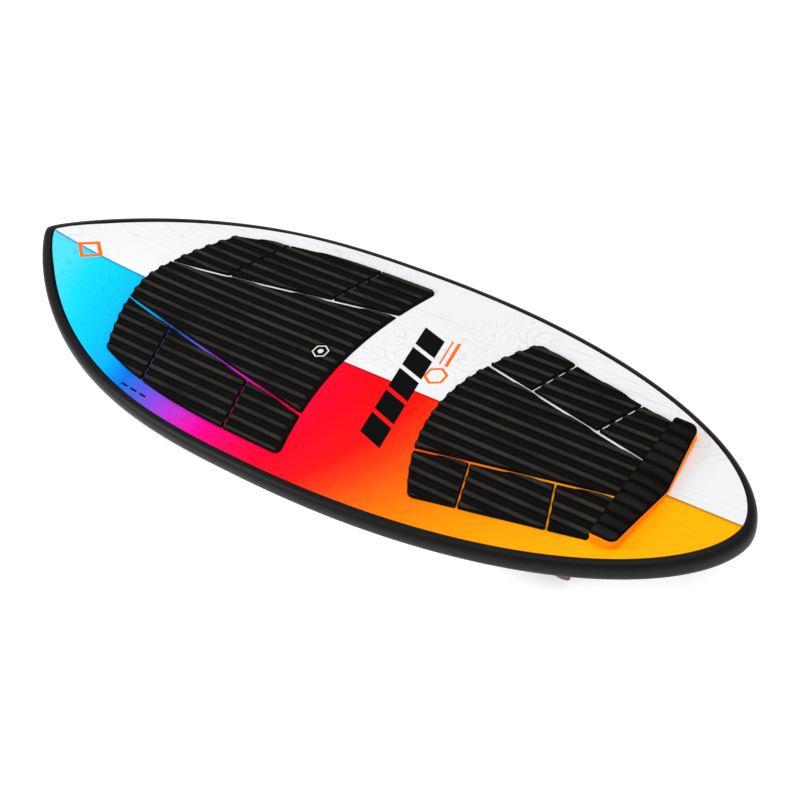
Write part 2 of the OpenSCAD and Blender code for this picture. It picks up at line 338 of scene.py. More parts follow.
def shell_section(x, surface, inner, rows):
    """Section of a laminate at x: outer surface, a rolled edge at each side and inner surface."""
    half = float(width_in(x))
    shrink = min(1, half / ROLL_HALF)
    flat = half - shrink * ROLLED[-1][0]
    outer = [(flat * share, 0) for share in np.linspace(-1, 1, rows)]
    roll = [(half - shrink * inset_by, drop) for inset_by, drop in reversed(ROLLED[:-1])]
    left = roll + [(half, inner)]
    middle = [(half * f, inner) for f in (0.5, 0, -0.5)]
    right = [(-y, drop) for y, drop in reversed(left)]
    return [(x, y, surface(x, y) - drop) for y, drop in outer + left + middle + right]


def make_deck():
    """Deck laminate, with the places that its print is laid out by."""
    sections = [shell_section(x, deck_z, DECK_T, DECK_ROWS) for x in stations(TAIL_IN, NOSE_IN)]
    points, faces = loft(sections)
    xs, ys = np.array(points).T[:2]
    print_places = {"fade": fade_at(xs, ys), "warm": warm_at(xs, ys), "inside": inside_at(xs, ys)}
    return make_mesh("deck", points, faces, print_places)


def make_bottom():
    """Bottom laminate, with an opening cut for each fin box."""

    def upside_down(x, y):
        return -bottom_z(x)

    sections = [
        [(x, y, -z) for x, y, z in shell_section(x, upside_down, BOTTOM_T, BOTTOM_ROWS)]
        for x in stations(TAIL_IN, NOSE_IN)
    ]
    bottom = add_object("bottom_blank", make_mesh("bottom", *loft(sections)))
    cutters = []
    for which in FIN_DEPTH:
        cutter = add_object("cutter_" + which, make_mesh("cutter", *box_prism(which)))
        cut = bottom.modifiers.new(which, "BOOLEAN")
        cut.operation = "DIFFERENCE"
        cut.object = cutter
        cutters.append(cutter)
    graph = bpy.context.evaluated_depsgraph_get()
    mesh = bpy.data.meshes.new_from_object(bottom.evaluated_get(graph))
    for blank in (bottom, *cutters):
        bpy.data.objects.remove(blank)
    smooth(mesh, BOTTOM_SHARP)
    return mesh


def rail_profile():
    """Section of the rail: shares of the way out, and heights from 1 at the deck to -1 at the bottom."""
    arc = []
    for turn in np.linspace(ARC_START, math.pi - ARC_START, ARC_STEPS):
        rise = math.cos(turn)
        arc.append((math.sin(turn) ** RAIL_ROUND, math.copysign(abs(rise) ** RAIL_ROUND, rise)))
    return [*SEAM, *arc, *((out, -up) for out, up in reversed(SEAM))]


def make_rail():
    """Rail band: one ring of sections, from the tail up the left side to the nose and back."""
    inner_x = stations(TAIL_IN, NOSE_IN)
    outer_x = stations(TAIL_OUT, NOSE_OUT)
    inner_half = width_in(inner_x)
    outer_half = rounded_half(outer_x, HALF_OUT, TAIL_OUT, NOSE_OUT)
    profile = rail_profile()

    def section(i, side):
        top = deck_z(inner_x[i], inner_half[i])
        low = bottom_z(inner_x[i])
        return [
            (
                blend(inner_x[i], outer_x[i], out),
                side * blend(inner_half[i], outer_half[i], out),
                blend(low, top, (1 + up) / 2),
            )
            for out, up in profile
        ]

    left = [section(i, 1) for i in range(STATIONS + 1)]
    right = [section(i, -1) for i in range(STATIONS - 1, 0, -1)]
    return make_mesh("rail", *loft(left + right, ring=True))


# ---------------- traction pads and kick


def clip(polygon, axis, limit, low_side):
    """The part of a polygon on one side of the line where its coordinate on axis is limit."""
    kept = []
    for a, b in zip(polygon, polygon[1:] + polygon[:1]):
        a_in = a[axis] <= limit if low_side else a[axis] >= limit
        b_in = b[axis] <= limit if low_side else b[axis] >= limit
        if a_in:
            kept.append(a)
        if a_in != b_in:
            t = (limit - a[axis]) / (b[axis] - a[axis])
            kept.append(tuple(blend(p, q, t) for p, q in zip(a, b)))
    return kept


def cells(polygon, axis, lines):
    """A polygon cut into the cells between sorted lines."""
    values = [p[axis] for p in polygon]
    inside = [v for v in lines if min(values) < v < max(values)]
    rest = polygon
    for limit in inside:
        yield clip(rest, axis, limit, True)
        rest = clip(rest, axis, limit, False)
    yield rest


def spread(curve, start, end, step):
    """Points at even steps along a polyline, but for its first start and its last end millimetres."""
    curve = np.asarray(curve, float)
    along = np.concatenate([[0], np.cumsum(np.linalg.norm(np.diff(curve, axis=0), axis=1))])
    count = max(2, int(round((along[-1] - end - start) / step)) + 1)
    places = np.linspace(start, along[-1] - end, count)
    return np.stack([np.interp(places, along, curve[:, k]) for k in (0, 1)], axis=1)


def rounded_outline(curves, radii, step=OUTLINE_STEP):
    """Counter-clockwise outline through curves that meet at corners, each corner rounded. radii[k] is at
    the start of curve k."""
    cuts = []
    for k, radius in enumerate(radii):
        before = np.subtract(curves[k - 1][-2], curves[k - 1][-1])
        after = np.subtract(curves[k][1], curves[k][0])
        cosine = before @ after / np.linalg.norm(before) / np.linalg.norm(after)
        half_angle = math.acos(max(-1, min(1, cosine))) / 2
        cuts.append((radius / math.tan(half_angle), math.sin(half_angle)))
    sides = []
    for k, curve in enumerate(curves):
        sides.append(spread(curve, cuts[k][0], cuts[(k + 1) % len(curves)][0], step))
    outline = []
    for k, side in enumerate(sides):
        if radii[k]:
            start, end, corner, weight = sides[k - 1][-1], side[0], np.asarray(curves[k][0]), cuts[k][1]
            for t in np.linspace(0, 1, CORNER_STEPS)[1:-1]:
                parts = ((1 - t) ** 2, 2 * weight * t * (1 - t), t * t)
                outline.append((parts[0] * start + parts[1] * corner + parts[2] * end) / sum(parts))
        outline.extend(side if radii[k] else side[1:])
    outline = np.array(outline)
    x, y = outline.T
    turning = np.sum(x * np.roll(y, -1) - np.roll(x, -1) * y)
    return outline if turning > 0 else outline[::-1]


def unit(vectors):
    """Rows of vectors, each of length 1."""
    return vectors / np.linalg.norm(vectors, axis=1)[:, None]


def inset(outline, distance):
    """A counter-clockwise outline moved inwards."""
    ahead = np.roll(outline, -1, axis=0) - outline
    behind = outline - np.roll(outline, 1, axis=0)
    tangent = unit(unit(ahead) + unit(behind))
    return outline + distance * np.stack([-tangent[:, 1], tangent[:, 0]], axis=1)


def make_slab(name, outline, x_lines, y_lines, top, bottom, tones=None, edge_r=EDGE_R):
    """Closed slab over an outline. Its top is cut along x_lines and y_lines, so that it can change height
    there, and its top edge is rounded. top, bottom and tones give values at arrays of x and y, and the
    tones fall to 0 towards the outline, which paints shade along every edge."""
    loops = [[(x, y, inset_by) for x, y in inset(outline, inset_by)] for inset_by in RINGS]
    regions = [loops[-1]]
    for outer, inner in zip(loops, loops[1:]):
        for k in range(len(outer)):
            regions.append([outer[k - 1], outer[k], inner[k], inner[k - 1]])
    known = {}
    spots = []
    faces = []
    for region in regions:
        for strip in cells(region, 1, y_lines):
            for cell in cells(strip, 0, x_lines):
                face = []
                for p in cell:
                    key = (round(p[0], 3), round(p[1], 3))
                    if key not in known:
                        known[key] = len(spots)
                        spots.append(p)
                    if known[key] not in face:
                        face.append(known[key])
                if len(face) > 2:
                    faces.append(face)
    x, y, depth = np.array(spots).T
    short = np.maximum(0, edge_r - depth)
    drop = edge_r - np.sqrt(edge_r ** 2 - short ** 2)
    under = bottom(x, y)
    high = np.stack([x, y, np.maximum(top(x, y) - drop, under + LEAST_T)], axis=1)
    low = np.stack([x, y, under], axis=1)
    count = len(spots)
    edges = dict.fromkeys(pair for face in faces for pair in zip(face, face[1:] + face[:1]))
    walls = [(b, a, a + count, b + count) for a, b in edges if (b, a) not in edges]
    floor = [[i + count for i in reversed(face)] for face in faces]
    # Painted shade: every tone falls to 0 over the rounded edge, so that the edges and the gaps between
    # pieces look dark
    fade = depth / RINGS[-1]
    attributes = {key: np.tile(values(x, y) * fade, 2) for key, values in (tones or {}).items()}
    return make_mesh(name, [*high, *low], faces + walls + floor, attributes, PAD_SHARP)


def glue_z(x, y):
    """z of the underside of the foam."""
    return deck_z(x, y) + GLUE_T


def ridge_share(y, phase):
    """Height of the ridges at y, from 0 in a valley to 1 on a ridge."""
    away = np.abs((np.asarray(y, float) - phase + RIDGE_PITCH / 2) % RIDGE_PITCH - RIDGE_PITCH / 2)
    places, heights = zip(*RIDGE)
    return np.interp(away, places, heights)


def ridge_lines(phase, profile):
    """Lines along the board where a row of ridges changes slope."""
    first = math.floor((-HALF_OUT - phase) / RIDGE_PITCH)
    middles = [phase + RIDGE_PITCH * k for k in range(first, -first + 2)]
    return sorted({m + side * away for m in middles for away, _ in profile[:-1] for side in (-1, 1)})


def edge_across(middle, fall=0, reach=1, power=1):
    """Edge of a pad across the board: x against y."""
    return lambda y: middle - fall * (abs(y) / reach) ** power


def edge_along(a, b):
    """Edge or gap along the board through two points: y against x."""
    return lambda x: blend(a[1], b[1], (x - a[0]) / (b[0] - a[0]))


def meet(across, along):
    """x where an edge across the board meets one along it."""
    x = across(0)
    for _ in range(20):
        x = across(along(x))
    return x


def pad_outline(rear, nose, inner, outer, radii, samples=EDGE_SAMPLES):
    """Outline of a pad between two edges across the board and two along it. Radii are at the rear inner,
    rear outer, nose outer and nose inner corner."""
    corners = [meet(rear, inner), meet(rear, outer), meet(nose, outer), meet(nose, inner)]
    y = [inner(corners[0]), outer(corners[1]), outer(corners[2]), inner(corners[3])]
    curves = [
        [(rear(v), v) for v in np.linspace(y[0], y[1], samples)],
        [(v, outer(v)) for v in np.linspace(corners[1], corners[2], samples)],
        [(nose(v), v) for v in np.linspace(y[2], y[3], samples)],
        [(v, inner(v)) for v in np.linspace(corners[3], corners[0], samples)],
    ]
    return rounded_outline([[(float(a), float(b)) for a, b in c] for c in curves], radii)


@dataclass
class PadGroup:
    """A centre pad and three side pads on each hand, parted by narrow gaps."""

    name: str
    # Edges across the board, and the long gap and the side along it
    rear: Callable
    nose: Callable
    gap: Callable
    side: Callable
    # Cross gaps and their width, y of one ridge, outer corner radii, bevel at the rear edge, and badge
    cross: tuple
    cut: float
    phase: float
    radii: tuple
    bevel: float
    badge: tuple

    def cross_line(self, k, shift):
        """Edge beside cross gap k: x against y."""
        near, far = self.cross[k]
        y0 = self.gap(near)
        y1 = float(self.side(far))
        return lambda y: blend(near, far, (y - y0) / (y1 - y0)) + shift

    def outlines(self):
        """Outlines by node name, those of the right hand mirrored from the left."""
        half = PAD_GAP / 2

        def beside_gap(hand, shift):
            return lambda x: hand * (self.gap(x) + shift)

        sides = (beside_gap(-1, -half), beside_gap(1, -half))
        found = {"centre": pad_outline(self.rear, self.nose, *sides, (SMALL_R,) * 4)}
        cuts = [self.cross_line(k, way * self.cut / 2) for k in (0, 1) for way in (-1, 1)]
        bays = {
            "rear": (self.rear, cuts[0], self.radii[0], SMALL_R),
            "middle": (cuts[1], cuts[2], SMALL_R, SMALL_R),
            "front": (cuts[3], self.nose, SMALL_R, self.radii[1]),
        }
        for part, (rear, nose, *outer) in bays.items():
            radii = (SMALL_R, *outer, SMALL_R)
            outline = pad_outline(rear, nose, beside_gap(1, half), self.side, radii)
            found["left_" + part] = outline
            found["right_" + part] = (outline * (1, -1))[::-1]
        return found

    def taper(self, x, y):
        """Share of the thickness that is left near a bevelled rear edge."""
        if not self.bevel:
            return np.ones_like(x)
        t = np.clip((x - self.rear(y)) / self.bevel, 0, 1)
        return blend(BEVEL_LEFT, 1, np.sin(t * math.pi / 2))

    def level(self, x, y):
        """1 on the level patch under the badge, 0 away from it."""
        if not self.badge:
            return np.zeros_like(x)
        away = np.hypot(x - self.badge[0], y - self.badge[1])
        return np.clip((BADGE_R + BADGE_SLOPE - away) / BADGE_SLOPE, 0, 1)

    def top(self, x, y):
        """z of the top of the foam."""
        level = self.level(x, y)
        share = blend(ridge_share(y, self.phase), BADGE_LEVEL, level)
        thick = blend(VALLEY_T, PAD_T, share * self.taper(x, y) ** 2)
        return glue_z(x, y) + thick * self.taper(x, y)

    def tone(self, x, y):
        """How grey the foam is: that of a ridge is 1."""
        return ridge_share(y, self.phase) * self.taper(x, y) ** 2 * (1 - self.level(x, y))

    def lines(self):
        """Lines of constant x and of constant y that the mesh follows."""
        x_lines = {X_STEP * k for k in range(TAIL_OUT // X_STEP, NOSE_OUT // X_STEP + 1)}
        y_lines = set(ridge_lines(self.phase, RIDGE))
        if self.bevel:
            first = math.floor(self.rear(HALF_IN) / BEVEL_STEP)
            last = math.ceil((self.rear(0) + self.bevel) / BEVEL_STEP) + 1
            x_lines |= {BEVEL_STEP * k for k in range(first, last + 1)}
        if self.badge:
            reach = BADGE_R + BADGE_SLOPE
            around = np.arange(-reach, reach + BADGE_STEP / 2, BADGE_STEP)
            x_lines |= set(self.badge[0] + around)
            y_lines |= set(self.badge[1] + around)
        return sorted(x_lines), sorted(y_lines)

    def build(self):
        x_lines, y_lines = self.lines()
        for part, outline in self.outlines().items():
            name = self.name + "_" + part
            tones = {"ridge": self.tone}
            mesh = make_slab(name, outline, x_lines, y_lines, self.top, glue_z, tones)
            piece = place(name + "_foam", mesh, eva_black, "board", [name])


def kick_rear(y):
    """x of the kick's rear edge: a blunt point with a round corner at each side."""
    flat = KICK_HALF - KICK_CORNER_R
    over = np.maximum(0, np.abs(y) - flat)
    apex = np.sqrt(np.square(y) + APEX_R ** 2) - APEX_R
    straight = blend(KICK_POINT, KICK_CORNER, np.minimum(1, apex / flat))
    return straight + KICK_CORNER_R - np.sqrt(np.maximum(0, KICK_CORNER_R ** 2 - over ** 2))


def kick_height(x):
    """Height of the kick over the deck, which falls to the rear."""
    t = (x - KICK_FRONT) / (KICK_POINT - KICK_FRONT)
    return blend(KICK_H, KICK_REAR_H, np.abs(t) ** KICK_FALL)


def kick_outline():
    """Front edge, left side, rear edge from left to right, right side."""
    flat = KICK_HALF - KICK_CORNER_R
    angles = np.linspace(math.pi / 2, 0, KICK_CORNER_STEPS)
    turn = [flat + KICK_CORNER_R * math.sin(a) for a in angles]
    middle = np.linspace(flat, -flat, KICK_REAR_STEPS)[1:-1]
    across = [*turn, *middle, *(-v for v in reversed(turn))]
    rear = [(float(kick_rear(v)), v) for v in across]
    curves = [
        [(KICK_FRONT, -KICK_HALF), (KICK_FRONT, KICK_HALF)],
        [(KICK_FRONT, KICK_HALF), rear[0]],
        rear,
        [rear[-1], (KICK_FRONT, -KICK_HALF)],
    ]
    return rounded_outline(curves, (KICK_FRONT_R, KICK_FRONT_R, 0, 0), KICK_OUTLINE_STEP)


def groove(y):
    """Depth of the grooves of the kick's cover, which lie between the ridges of the pad before it."""
    away = (y - RIDGE_PITCH / 2 - REAR_PHASE) % RIDGE_PITCH
    return np.interp(np.minimum(away, RIDGE_PITCH - away), *zip(*RIB))


def make_kick():
    """Orange wedge, and the black cover on it."""
    outline = kick_outline()

    def seam(x, y):
        return deck_z(x, y) + kick_height(x) - COVER_T

    def cover_top(x, y):
        return seam(x, y) + COVER_T - groove(y)

    def cover_bottom(x, y):
        return seam(x, y) + COVER_BOTTOM_LIFT

    # Painted shade: the cover's tone is darker the deeper its groove is
    def tone(x, y):
        return np.clip(COVER_TONE - groove(y) / GROOVE_SHADE_DEPTH, COVER_LEAST, 1)

    y_lines = ridge_lines(REAR_PHASE + RIDGE_PITCH / 2, RIB)
    lines = (range(KICK_POINT + 1, KICK_FRONT, KICK_STEP), y_lines)
    wedge = make_slab("kick_wedge", outline, *lines, seam, glue_z, edge_r=WEDGE_EDGE_R)
    cover = make_slab("kick_cover", outline, *lines, cover_top, cover_bottom, {"ridge": tone})
    place("kick_wedge_foam", wedge, eva_orange, "board", ["kick_wedge"])
    place("kick_cover_foam", cover, eva_black, "board", ["kick_cover"])


# ---------------- fins


def at_fin(which, points):
    """Points in a fin's own axes (x forward, z out of the bottom) put in board axes."""
    x, y = CENTRE_FIN if which == "centre" else SIDE_FIN
    slope = math.atan(float(bottom_z(x + 1) - bottom_z(x - 1)) / 2)
    toe = 0 if which == "centre" else math.radians(-FIN_TOE)
    lean = Matrix.Rotation(-slope, 3, "Y")
    turn = lean @ Matrix.Rotation(toe, 3, "Z") @ Matrix.Rotation(math.pi, 3, "X")
    base = Vector((x, y, float(bottom_z(x))))
    hand = -1 if which == "right" else 1
    moved = [base + turn @ Vector(p) for p in points]
    return [(p.x, hand * p.y, p.z) for p in moved]


def stadium(length, width, steps=END_STEPS):
    """Outline with round ends."""
    reach = (length - width) / 2
    ends = []
    for side in (1, -1):
        for a in np.linspace(-math.pi / 2, math.pi / 2, steps):
            ends.append((side * (reach + width / 2 * math.cos(a)), side * width / 2 * math.sin(a)))
    return ends


def prism(outlines):
    """Points and faces of a closed solid through (outline, z) sections."""
    points, faces = loft([[(x, y, z) for x, y in outline] for outline, z in outlines])
    size = len(outlines[0][0])
    last = size * (len(outlines) - 1)
    return points, faces + [list(range(size)), list(range(last, last + size))]


def box_prism(which):
    """Solid that cuts a fin box's opening out of the bottom laminate."""
    outline = stadium(BOX_LEN + 2 * BOX_CLEAR, BOX_W + 2 * BOX_CLEAR)
    points, faces = prism([(outline, -CUT_REACH), (outline, CUT_REACH)])
    return at_fin(which, points), faces


def bezier(controls, t):
    """Point at t on a cubic curve."""
    weights = ((1 - t) ** 3, 3 * t * (1 - t) ** 2, 3 * t * t * (1 - t), t ** 3)
    return tuple(sum(w * point[k] for w, point in zip(weights, controls)) for k in (0, 1))


# Symmetric wing section: factors of the root, first, second, third and fourth power of the chord's share
FOIL = ((0.5, 0.2969), (1, -0.126), (2, -0.3516), (3, 0.2843), (4, -0.1036))
FOIL_SCALE = 5


def foil(share):
    """Half thickness of a fin's section, as a share of its thickness."""
    return FOIL_SCALE * sum(factor * share ** power for power, factor in FOIL)


def fin_section(t, ring, rise, stretch):
    """Section of a fin's blade at t, which is 0 at the root and 1 at the tip. ring lists its points, as
    shares of the chord and sides."""
    lead = bezier(LEAD_EDGE, t)
    trail = bezier(TRAIL_EDGE, 1 - t)
    closing = min(1, math.dist(lead, trail) / CLOSING_CHORD)
    thick = FIN_T * (1 - TIP_THINNING * t) * closing
    section = []
    for share, side in ring:
        x = blend(lead[0], trail[0], share)
        z = rise + stretch * blend(lead[1], trail[1], share)
        half = 0 if share in (0, 1) else foil(share) * thick + TRAIL_HALF * share ** 4 * closing
        section.append((x, side * half, z))
    return section


def fin_tab(top):
    """Rounded tab, which goes into the box."""
    length, width, depth = TAB
    outer = stadium(length, width)
    inner = stadium(length - 2 * TAB_ROUND, width - 2 * TAB_ROUND)
    return prism([(inner, -depth), (outer, -depth + TAB_ROUND), (outer, 0), (inner, top)])


def make_fin(which):
    """Foiled fin with its tab, canted outwards if it is a side fin."""
    rise = FIN_T / 2 * math.sin(math.radians(FIN_CANT)) + FIN_GAP
    stretch = FIN_DEPTH[which] / OUTLINE_DEPTH
    shares = [(1 - math.cos(math.pi * k / CHORD_STEPS)) / 2 for k in range(CHORD_STEPS + 1)]
    ring = [(s, 1) for s in shares] + [(s, -1) for s in reversed(shares[1:-1])]
    spans = [math.sin(math.pi / 2 * k / SPAN_STEPS) for k in range(SPAN_STEPS + 1)]
    points, faces = loft([fin_section(t, ring, rise, stretch) for t in spans])
    faces.append(list(range(len(ring))))
    cant = Matrix.Rotation(0 if which == "centre" else math.radians(FIN_CANT), 3, "X")
    points = [tuple(cant @ Vector(p)) for p in points]
    tab_points, tab_faces = fin_tab(rise + TAB_REACH)
    faces += [[i + len(points) for i in face] for face in tab_faces]
    chord = [share for _ in spans for share, _ in ring] + [TAB_CHORD] * len(tab_points)
    return make_mesh("fin_" + which, at_fin(which, points + tab_points), faces, {"chord": chord})


# ---------------- materials


def srgb(red, green, blue):
    """Display colour out of 255, as the linear colour that Blender takes."""
    linear = []
    for value in (red, green, blue):
        v = value / 255
        linear.append(v / 12.92 if v <= 0.04045 else ((v + 0.055) / 1.055) ** 2.4)
    return (*linear, 1)


class Field:
    """A value that varies over a surface. A formula on it becomes Math nodes."""

    def __init__(self, tree, socket):
        self.tree = tree
        self.socket = socket

    def apply(self, operation, *others, clamp=False):
        node = self.tree.nodes.new("ShaderNodeMath")
        node.operation = operation
        node.use_clamp = clamp
        feed(node, dict(enumerate((self, *others))))
        return Field(self.tree, node.outputs[0])

    def __add__(self, other):
        return self.apply("ADD", other)

    def __sub__(self, other):
        return self.apply("SUBTRACT", other)

    def __mul__(self, other):
        return self.apply("MULTIPLY", other)

    def __abs__(self):
        return self.apply("ABSOLUTE")

    def __mod__(self, period):
        return self.apply("FLOORED_MODULO", period)

    def above(self, edge, soft=0.4):
        """1 where the number is above an edge, 0 below it, with a soft step between."""
        return self.apply("SUBTRACT", edge).apply("MULTIPLY_ADD", 1 / soft, 0.5, clamp=True)

    def below(self, edge, soft=0.4):
        return self.apply("SUBTRACT", edge).apply("MULTIPLY_ADD", -1 / soft, 0.5, clamp=True)

    def near(self, middle, reach, soft=0.4):
        return abs(self - middle).below(reach, soft)

    def between(self, low, high, soft=0.4):
        return self.near((low + high) / 2, (high - low) / 2, soft)


def feed(node, inputs):
    """Put constants or fields on a node's inputs, which are given by name or number."""
    for key, value in inputs.items():
        if isinstance(value, Field):
            value.tree.links.new(value.socket, node.inputs[key])
        else:
            node.inputs[key].default_value = value


class Paint:
    """A material on one Principled shader, whose patterns are laid out in the board's axes."""

    def __init__(self, name, **constants):
        self.material = bpy.data.materials.new(name)
        self.material.use_nodes = True
        self.tree = self.material.node_tree
        self.shader = self.tree.nodes["Principled BSDF"]
        feed(self.shader, {key.replace("_", " "): value for key, value in constants.items()})
        standing = Field(self.tree, self.tree.nodes.new("ShaderNodeTexCoord").outputs["Object"])
        unstand = self.tree.nodes.new("ShaderNodeMapping")
        shift = STAND.inverted().to_translation()
        feed(unstand, {"Vector": standing, "Location": shift, "Rotation": (0, -PITCH, 0)})
        self.place = Field(self.tree, unstand.outputs[0])
        split = self.tree.nodes.new("ShaderNodeSeparateXYZ")
        feed(split, {0: self.place})
        self.x, self.y, self.z = (Field(self.tree, o) * (1 / MM) for o in split.outputs)

    def give(self, node, inputs, output=0):
        """What a node gives once its inputs are set."""
        feed(node, inputs)
        return Field(self.tree, node.outputs[output])

    def attribute(self, name):
        node = self.tree.nodes.new("ShaderNodeAttribute")
        node.attribute_name = name
        return self.give(node, {}, "Fac")

    def scaled(self, size, stretch=(1, 1, 1), shift=0):
        """Places in a pattern whose grain is size millimetres, stretched along the axes."""
        node = self.tree.nodes.new("ShaderNodeVectorMath")
        node.operation = "MULTIPLY_ADD"
        factors = [1 / (MM * size * s) for s in stretch]
        return self.give(node, {0: self.place, 1: factors, 2: (shift, shift, shift)})

    def noise(self, size, stretch=(1, 1, 1), detail=2, roughness=0.5, distortion=0, shift=0):
        node = self.tree.nodes.new("ShaderNodeTexNoise")
        inputs = {"Vector": self.scaled(size, stretch, shift), "Scale": 1, "Detail": detail}
        return self.give(node, {**inputs, "Roughness": roughness, "Distortion": distortion})

    def beads(self, size):
        """Distance from the middle of round cells."""
        node = self.tree.nodes.new("ShaderNodeTexVoronoi")
        return self.give(node, {"Vector": self.scaled(size), "Scale": 1}, "Distance")

    def ramp(self, field, stops):
        node = self.tree.nodes.new("ShaderNodeValToRGB")
        elements = node.color_ramp.elements
        elements[0].position, elements[0].color = stops[0]
        elements[1].position, elements[1].color = stops[-1]
        for position, colour in stops[1:-1]:
            elements.new(position).color = colour
        return self.give(node, {"Fac": field}, "Color")

    def mix(self, share, a, b, blend="MIX"):
        node = self.tree.nodes.new("ShaderNodeMix")
        node.data_type = "RGBA"
        node.blend_type = blend
        return self.give(node, {0: share, 6: a, 7: b}, 2)

    def finish(self, base, roughness, relief=None, depth=0):
        """The material with its colour, roughness and relief, where 1 is depth in millimetres."""
        feed(self.shader, {"Base Color": base, "Roughness": roughness})
        if relief:
            node = self.tree.nodes.new("ShaderNodeBump")
            feed(self.shader, {"Normal": self.give(node, {"Distance": depth * MM, "Height": relief})})
        return self.material


# The colour fade: place along the board on the centre line, and display colour there
FADE = (
    (-580, (255, 180, 0)), (-400, (255, 150, 0)), (-300, (255, 120, 5)), (-200, (250, 60, 20)),
    (-150, (255, 20, 25)), (-60, (255, 0, 45)), (0, (255, 0, 80)), (70, (250, 0, 125)),
    (100, (240, 0, 155)), (160, (195, 45, 205)), (220, (135, 70, 220)), (260, (75, 90, 220)),
    (310, (10, 110, 220)), (345, (0, 145, 250)), (380, (0, 175, 250)), (500, (5, 205, 255)),
    (550, (20, 215, 255)), (600, (75, 220, 250)), (660, (90, 220, 245)),
)
FADE_START = FADE[0][0]
FADE_END = FADE[-1][0]
# How far the fade is carried towards the nose along the edge of the deck, at places along the board
FADE_SHIFT = ((-100, 500, 600), (80, -60, 0))
# Warmer tint of the red part: the tint, where it starts, is full and ends, and its fall to the edge
WARM_TINT = (1, 0.9, 0.2, 1)
WARM_REACH = (-280, -160, 20, 100)
WARM_CURVE = 1.3
# Black lap on the deck, which widens the rail's band towards the nose: places, and its width there,
# where one below 0 is none
LAP = ((200, 450, 600, 650), (-1, 3, 5, 2.5))
# Strength of the faint lines, and width and strength of the painted shade along the seam of the two
# halves
LINE_SHADE = 0.14
PAINTED_SEAM_SHADE_WIDTH = 3.2
PAINTED_SEAM_SHADE = 0.85


def outwards(x, y):
    """0 on the centre line, 1 at the edge of the deck."""
    return np.clip(np.abs(y) / np.maximum(width_in(x), 1), 0, 1)


def fade_at(x, y):
    """Place in the fade, from 0 to 1, of points of the deck."""
    along = x - np.interp(x, *FADE_SHIFT) * outwards(x, y) ** 2
    return np.clip((along - FADE_START) / (FADE_END - FADE_START), 0, 1)


def warm_at(x, y):
    """Share of the warmer tint, which is strongest in the middle of the deck."""
    return (1 - outwards(x, y) ** WARM_CURVE) * np.interp(x, WARM_REACH, (0, 1, 1, 0))


def inside_at(x, y):
    """Distance inwards from the black lap along the edge of the deck."""
    half = width_in(x)
    slope = half - width_in(x - 1)
    return (half - np.abs(y)) / np.sqrt(1 + slope ** 2) - np.interp(x, *LAP)


def hexagon(x, y):
    """Distance from the middle of a hexagon to its sides."""
    return abs(x).apply("MAXIMUM", abs(x) * math.cos(math.pi / 3) + abs(y) * math.sin(math.pi / 3))


# Contour and grain lines: how many the noise is cut into, and their half width and softness
CONTOURS = 22
CONTOUR_LINE = (0.07, 0.06)
GRAINS = 9
GRAIN_LINE = (0.05, 0.05)


def contour_lines(p):
    """Faint lines like those of a map, and long straight ones like the grain of wood."""
    land = (p.noise(size=95, stretch=(1.3, 1, 1), distortion=0.3) * CONTOURS) % 1
    patches = p.noise(size=190, stretch=(1.4, 1, 1), detail=1, shift=7).above(0.5, soft=0.06)
    grain = (p.noise(size=24, stretch=(34, 1, 1), detail=1, shift=3) * GRAINS) % 1
    bands = p.noise(size=120, stretch=(2.5, 1, 1), detail=1, shift=11).above(0.47, soft=0.1)
    lines = land.near(0.5, *CONTOUR_LINE) * patches + grain.near(0.5, *GRAIN_LINE) * bands
    return lines.apply("MINIMUM", 1)


# Row of dark bars: its x and lean, half width, y at its start and its run from there, pitch of the bars,
# the part of it that one fills, and the skew of their ends
BARS_X = -108
BARS_LEAN = 0.197
BARS_HALF = 22
BARS_Y = -122
BARS_RUN = (2, 242)
BAR_PITCH = 48.8
BAR_SPAN = (1, 42)
BAR_SKEW = 0.32
# Dashes by the left edge: x at their start and their run from there, pitch, the part of it that one
# fills, and the y, lean and half width of their row
DASHES_X = 240
DASHES_RUN = (-1, 61)
DASH_PITCH = 22
DASH_SPAN = (0.5, 15.5)
DASH_ROW = (233, 0.08, 1.7)
# Hexagon ring: middle, radius and half width. Rules beside it: x and half width of each, and their ends.
# Lozenge ring at the nose: x, half length and breadth, and its radius and half width as shares of them
RING = (-140, -42, 15, 2.2)
RULES = ((-155, 3.2), (-143, 1.6))
RULES_Y = (-120, -66)
LOZENGE = (578, 31, 25, 0.82, 0.17)
# Badge on the front pad: radius and half width of its ring, and radius of its middle
BADGE_RING = (11.5, 1.1)
BADGE_MIDDLE = 4.5
# Spacing of the threads in the bottom laminate
WEAVE = 1.6


def marks(p):
    """Plain shapes in the places of the printed marks: dark ones and orange ones."""
    slant = p.x + p.y * BARS_LEAN - BARS_X
    run = p.y - BARS_Y + slant * BAR_SKEW
    bars = slant.near(0, BARS_HALF) * (run % BAR_PITCH).between(*BAR_SPAN) * run.between(*BARS_RUN)
    row_y, row_lean, row_half = DASH_ROW
    row = (p.y + p.x * row_lean).near(row_y, row_half)
    along = p.x - DASHES_X
    dashes = along.between(*DASHES_RUN) * (along % DASH_PITCH).between(*DASH_SPAN) * row
    x, y, radius, half = RING
    ring = hexagon(p.x - x, p.y - y).near(radius, half)
    stripe = p.x + p.y * BARS_LEAN
    wide, narrow = (stripe.near(*rule) for rule in RULES)
    rules = (wide + narrow) * p.y.between(*RULES_Y)
    x, length, breadth, radius, half = LOZENGE
    lozenge = (abs(p.x - x) * (1 / length) + abs(p.y) * (1 / breadth)).near(radius, half, 0.02)
    return bars + dashes, ring + rules + lozenge


